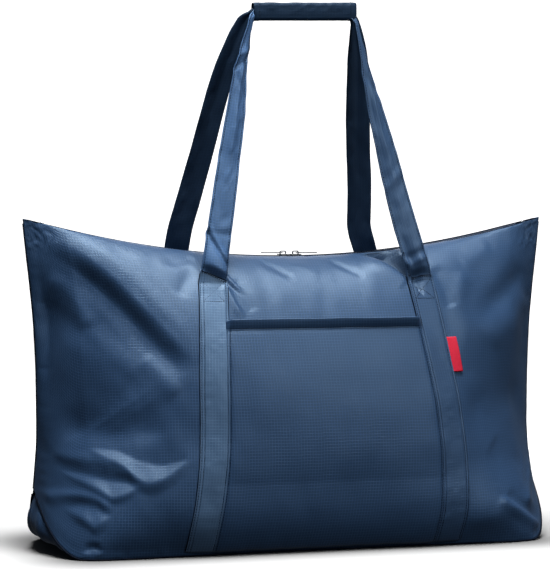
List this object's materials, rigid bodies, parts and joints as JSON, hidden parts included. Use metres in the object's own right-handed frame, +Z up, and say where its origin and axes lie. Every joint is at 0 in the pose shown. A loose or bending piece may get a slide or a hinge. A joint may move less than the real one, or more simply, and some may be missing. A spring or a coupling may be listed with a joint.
{
  "type": "foldable travel tote bag",
  "caption": "Large foldable tote with a dipped double-slider zip, front pocket, sewn-on webbing, long swinging handles and a wrapped grip, boat-shaped base.",
  "frame": {"origin": "on the floor under the middle of the bag's width and depth", "axes": "+X along the bag's width to the viewer's right when the pocket faces the viewer, -Y the pocket side, +Z up"},
  "size_m": [0.6544, 0.2492, 0.6449],
  "materials": {
    "ripstop": "coated ripstop weave, satin",
    "webbing": "folded ripstop strap, satin",
    "binding": "woven seam tape",
    "zip_tape": "woven zip tape, matt",
    "zip_coil": "moulded nylon coil",
    "zip_metal": "polished nickel plate",
    "red_tab": "woven tab, blank",
    "white_tab": "woven tab, blank",
    "hook_and_loop": "hook-and-loop tape"
  },
  "bodies": {
    "bag": {"front_panel": "ripstop", "back_panel": "ripstop", "base_panel": "ripstop", "base_end_left": "ripstop", "base_end_right": "ripstop", "base_binding_front": "binding", "base_binding_back": "binding", "side_binding_left": "binding", "side_binding_right": "binding", "zip_tape_front": "zip_tape", "zip_tape_rear": "zip_tape", "zip_coil_front": "zip_coil", "zip_coil_rear": "zip_coil", "zip_stop_left": "zip_metal", "zip_stop_right": "zip_metal", "strap_front_left": "webbing", "strap_front_right": "webbing", "strap_rear_left": "webbing", "strap_rear_right": "webbing", "pocket_panel": "ripstop", "pocket_hem": "ripstop", "side_label": "red_tab", "pouch_back": "ripstop", "pouch_front": "ripstop", "pouch_zip_tape": "zip_tape", "pouch_zip_coil": "zip_coil", "pouch_hanger": "webbing", "care_label": "white_tab"},
    "slider_left": {"slider_left": "zip_metal"},
    "slider_right": {"slider_right": "zip_metal"},
    "pull_left": {"pull_left": "zip_metal"},
    "pull_right": {"pull_right": "zip_metal"},
    "front_handle": {"handle_strap_front": "webbing", "grip_wrap_front": "ripstop", "grip_hook_tape": "hook_and_loop"},
    "rear_handle": {"handle_strap_rear": "webbing", "grip_wrap_rear": "ripstop", "grip_loop_tape": "hook_and_loop"},
    "pouch_slider": {"pouch_slider": "zip_metal"},
    "pouch_pull": {"pouch_pull": "zip_metal"}
  },
  "joints": [
    {"name": "front_handle_swing", "type": "hinge", "parent": "bag", "child": "front_handle", "pos_m": [0, -0.064, 0.318], "axis": [1, 0, 0], "range_deg": [0, 145]},
    {"name": "rear_handle_swing", "type": "hinge", "parent": "bag", "child": "rear_handle", "pos_m": [0, 0.064, 0.318], "axis": [-1, 0, 0], "range_deg": [0, 152]},
    {"name": "slider_left_run", "type": "hinge", "parent": "bag", "child": "slider_left", "pos_m": [0, 0, 1.52], "axis": [0, 1, 0], "range_deg": [0, 14]},
    {"name": "slider_right_run", "type": "hinge", "parent": "bag", "child": "slider_right", "pos_m": [0, 0, 1.52], "axis": [0, -1, 0], "range_deg": [0, 14]},
    {"name": "pull_left_swing", "type": "hinge", "parent": "slider_left", "child": "pull_left", "pos_m": [-0.00956, 0, 0.34754], "axis": [0, 1, 0], "range_deg": [0, 100]},
    {"name": "pull_right_swing", "type": "hinge", "parent": "slider_right", "child": "pull_right", "pos_m": [0.00956, 0, 0.34754], "axis": [0, -1, 0], "range_deg": [0, 100]},
    {"name": "pouch_slider_run", "type": "slide", "parent": "bag", "child": "pouch_slider", "axis": [-1, 0, 0], "range_m": [0, 0.14]},
    {"name": "pouch_pull_swing", "type": "hinge", "parent": "pouch_slider", "child": "pouch_pull", "pos_m": [0.07, 0.0497, 0.28125], "axis": [-1, 0, 0], "range_deg": [0, 90]}
  ]
}
